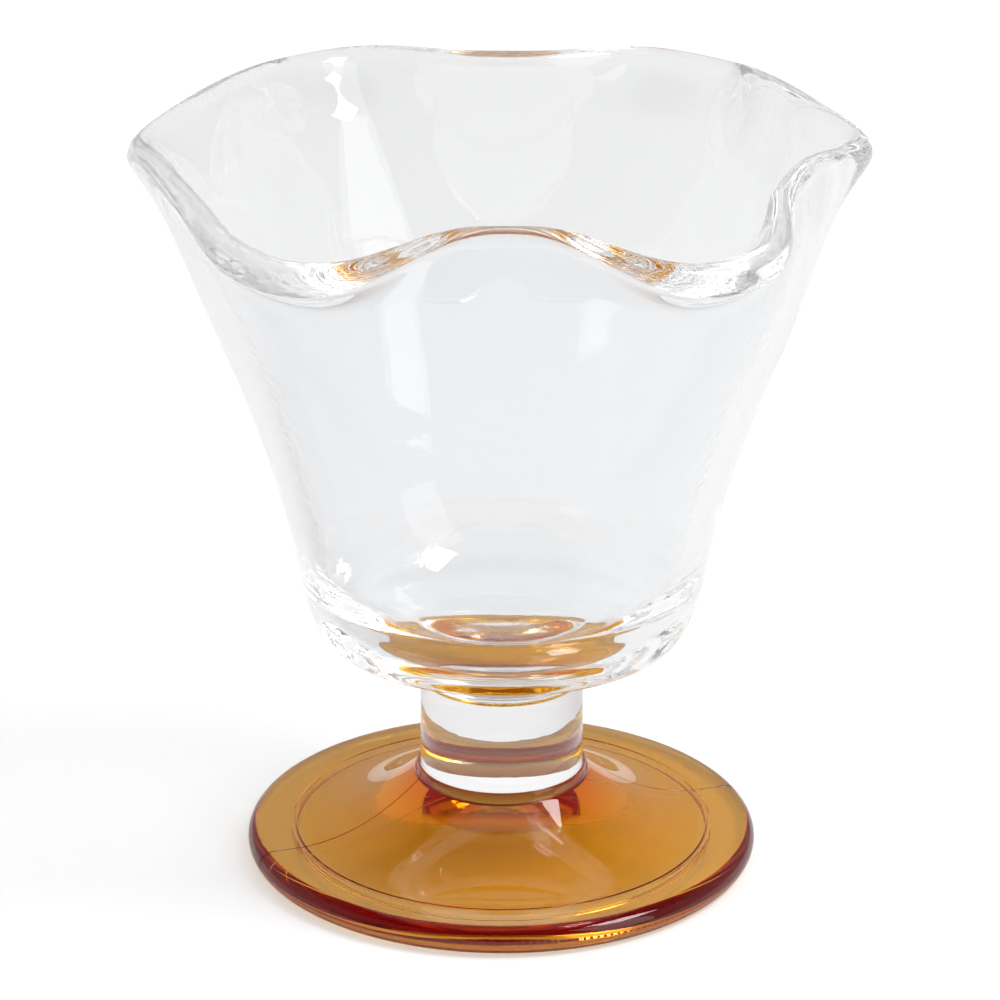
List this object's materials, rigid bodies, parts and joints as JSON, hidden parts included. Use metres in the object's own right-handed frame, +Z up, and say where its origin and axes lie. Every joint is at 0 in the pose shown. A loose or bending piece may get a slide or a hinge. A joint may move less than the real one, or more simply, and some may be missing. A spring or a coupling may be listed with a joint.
{
  "type": "ice cream bowl",
  "caption": "Clear glass bowl with a pinched, ruffled rim on a short clear stem and a round amber glass foot; holds a serving of ice cream or dessert and stands on a table.",
  "frame": {"origin": "on the stem's axis, in the plane that the foot stands on, which is the middle of the bottom of the object's box", "axes": "+Z up along the stem's axis; -Y is the front, the side with the broad pinch that faces the viewer; +X to the viewer's right"},
  "size_m": [0.1196, 0.1088, 0.1278],
  "materials": {
    "clear_glass": "fire-polished clear glass",
    "amber_glass": "pressed amber glass, glossy"
  },
  "bodies": {
    "root": {"foot": "amber_glass", "stem": "clear_glass", "bowl": "clear_glass"}
  },
  "joints": []
}
